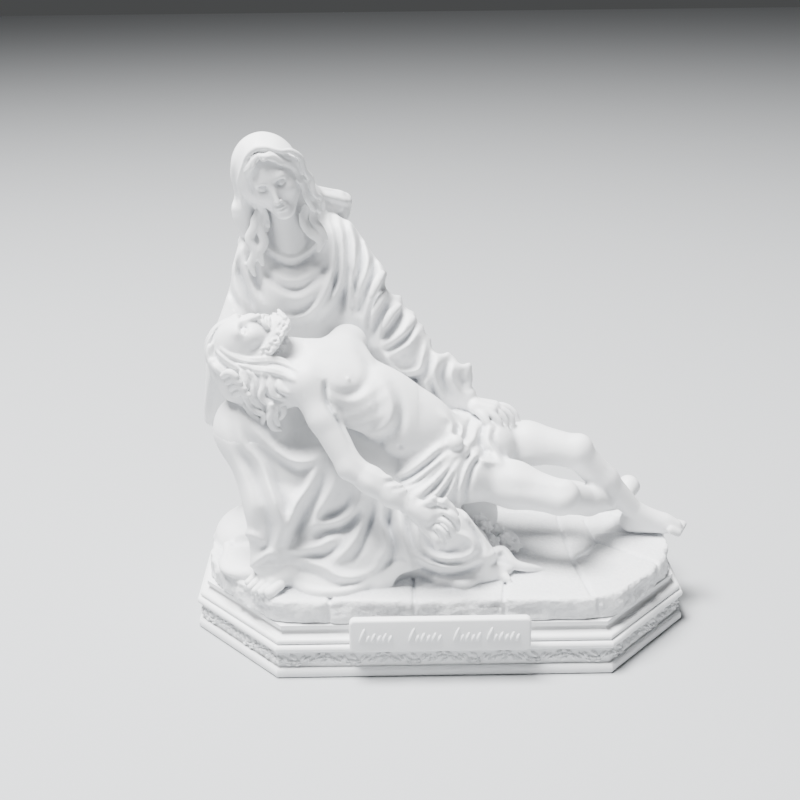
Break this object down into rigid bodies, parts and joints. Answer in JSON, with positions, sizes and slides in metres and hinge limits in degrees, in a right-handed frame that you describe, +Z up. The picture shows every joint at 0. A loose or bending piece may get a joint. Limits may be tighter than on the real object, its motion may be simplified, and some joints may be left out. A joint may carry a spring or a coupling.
{
  "type": "pieta statue",
  "caption": "Small resin pieta: seated veiled mother with her son laid across her lap, on a paved slab over a moulded octagonal plinth with a name tablet.",
  "frame": {"origin": "centre of the plinth's flat underside", "axes": "+Z up out of the plinth, -Y the side the tablet and the figures face, +X towards the son's feet"},
  "size_m": [0.1698, 0.1069, 0.1643],
  "materials": {
    "plinth_resin": "matte white marble-powder resin, frieze in low relief",
    "tablet_resin": "matte white marble-powder resin, shallow strokes on its face",
    "figure_resin": "matte white marble-powder resin, carved look, faint shadow in the folds"
  },
  "bodies": {
    "root": {"plinth": "plinth_resin", "name_tablet": "tablet_resin", "figure_group": "figure_resin"}
  },
  "joints": []
}
